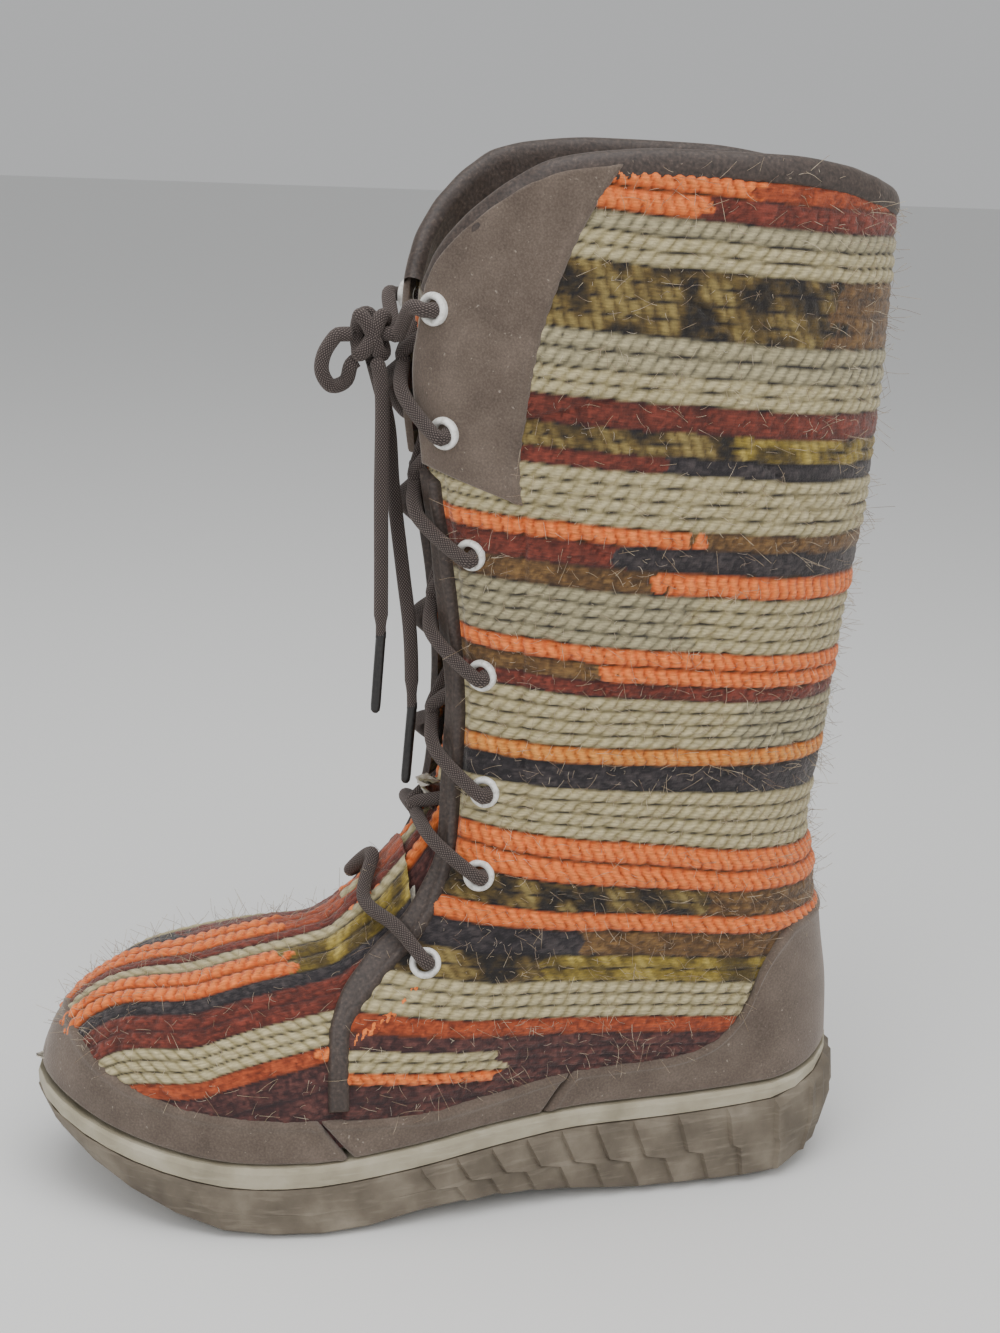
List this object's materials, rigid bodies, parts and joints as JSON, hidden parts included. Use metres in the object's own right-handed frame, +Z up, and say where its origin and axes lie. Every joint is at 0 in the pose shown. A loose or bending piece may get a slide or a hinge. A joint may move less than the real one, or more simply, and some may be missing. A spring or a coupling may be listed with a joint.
{
  "type": "winter boot",
  "caption": "Left lace-up winter boot: quilted knit shaft and vamp, suede rands and lace panels, fleece lining, cupped rubber sole with a pale stripe.",
  "frame": {"origin": "on the floor under the middle of the heel, on the flat of the heel tread", "axes": "+X towards the toe, +Y towards the wearer's left (the outer side), +Z up from the floor the boot stands on"},
  "size_m": [0.2896, 0.112, 0.3598],
  "materials": {
    "sole_rubber": "matte, scuffed",
    "stone_rubber": "satin",
    "knit": "chunky twisted wool rows",
    "suede": "napped",
    "binding": "folded strip",
    "fleece": "soft pile",
    "enamel": "gloss",
    "lace": "round woven cord",
    "lace_tip": "gloss"
  },
  "bodies": {
    "root": {"outsole": "sole_rubber", "midsole": "stone_rubber", "insole": "fleece", "upper": "knit", "tongue": "knit", "toe_rand": "suede", "heel_counter": "suede", "side_rand_lateral": "suede", "side_rand_medial": "suede", "lace_panel_lateral": "suede", "lace_panel_medial": "suede", "quarter_binding_lateral": "binding", "quarter_binding_medial": "binding", "collar_binding": "binding", "eyelet_lateral_1": "enamel", "eyelet_lateral_2": "enamel", "eyelet_lateral_3": "enamel", "eyelet_lateral_4": "enamel", "eyelet_lateral_5": "enamel", "eyelet_lateral_6": "enamel", "eyelet_lateral_7": "enamel", "eyelet_medial_1": "enamel", "eyelet_medial_2": "enamel", "eyelet_medial_3": "enamel", "eyelet_medial_4": "enamel", "eyelet_medial_5": "enamel", "eyelet_medial_6": "enamel", "eyelet_medial_7": "enamel", "lace_bar": "lace", "lace_lead_lateral": "lace", "lace_lead_medial": "lace", "lace_knot": "lace", "lace_loop": "lace", "lace_end_1": "lace", "lace_end_2": "lace", "lace_crossing_1": "lace", "lace_crossing_2": "lace", "lace_crossing_3": "lace", "lace_crossing_4": "lace", "lace_crossing_5": "lace", "lace_tip_1": "lace_tip", "lace_tip_2": "lace_tip"}
  },
  "joints": []
}
